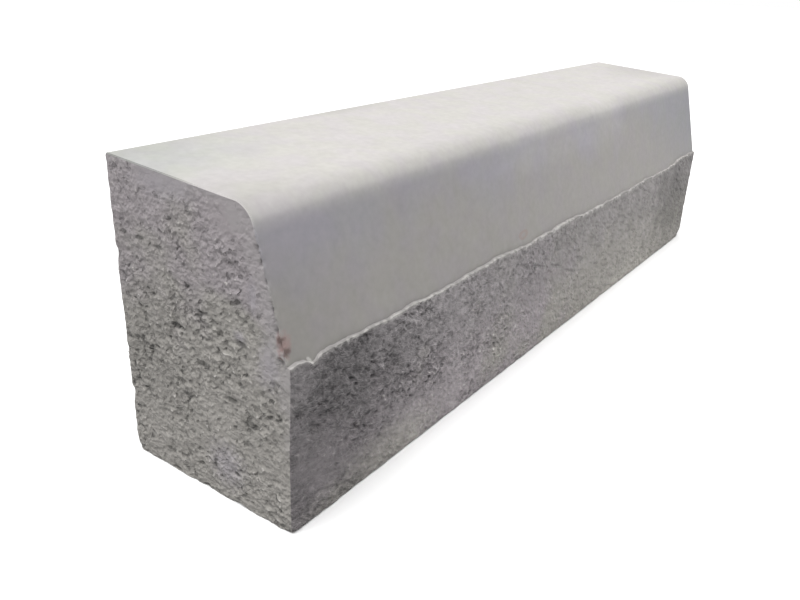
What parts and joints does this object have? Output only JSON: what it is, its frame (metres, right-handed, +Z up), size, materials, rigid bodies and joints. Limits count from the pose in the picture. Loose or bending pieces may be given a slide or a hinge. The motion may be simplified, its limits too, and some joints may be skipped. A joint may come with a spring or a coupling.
{
  "type": "kerb stone",
  "caption": "Concrete road kerb stone with a smooth top, rounded nose and sloping batter over a rough road face.",
  "frame": {"origin": "middle of the base", "axes": "+X along the kerb, the road is on the -Y side and the footway on the +Y side, +Z up"},
  "size_m": [1, 0.195, 0.2798],
  "materials": {
    "concrete": "semi-dry pressed concrete: smooth light grey top, nose and batter, open rough grey texture on the other faces"
  },
  "bodies": {
    "root": {"kerb_stone": "concrete"}
  },
  "joints": []
}
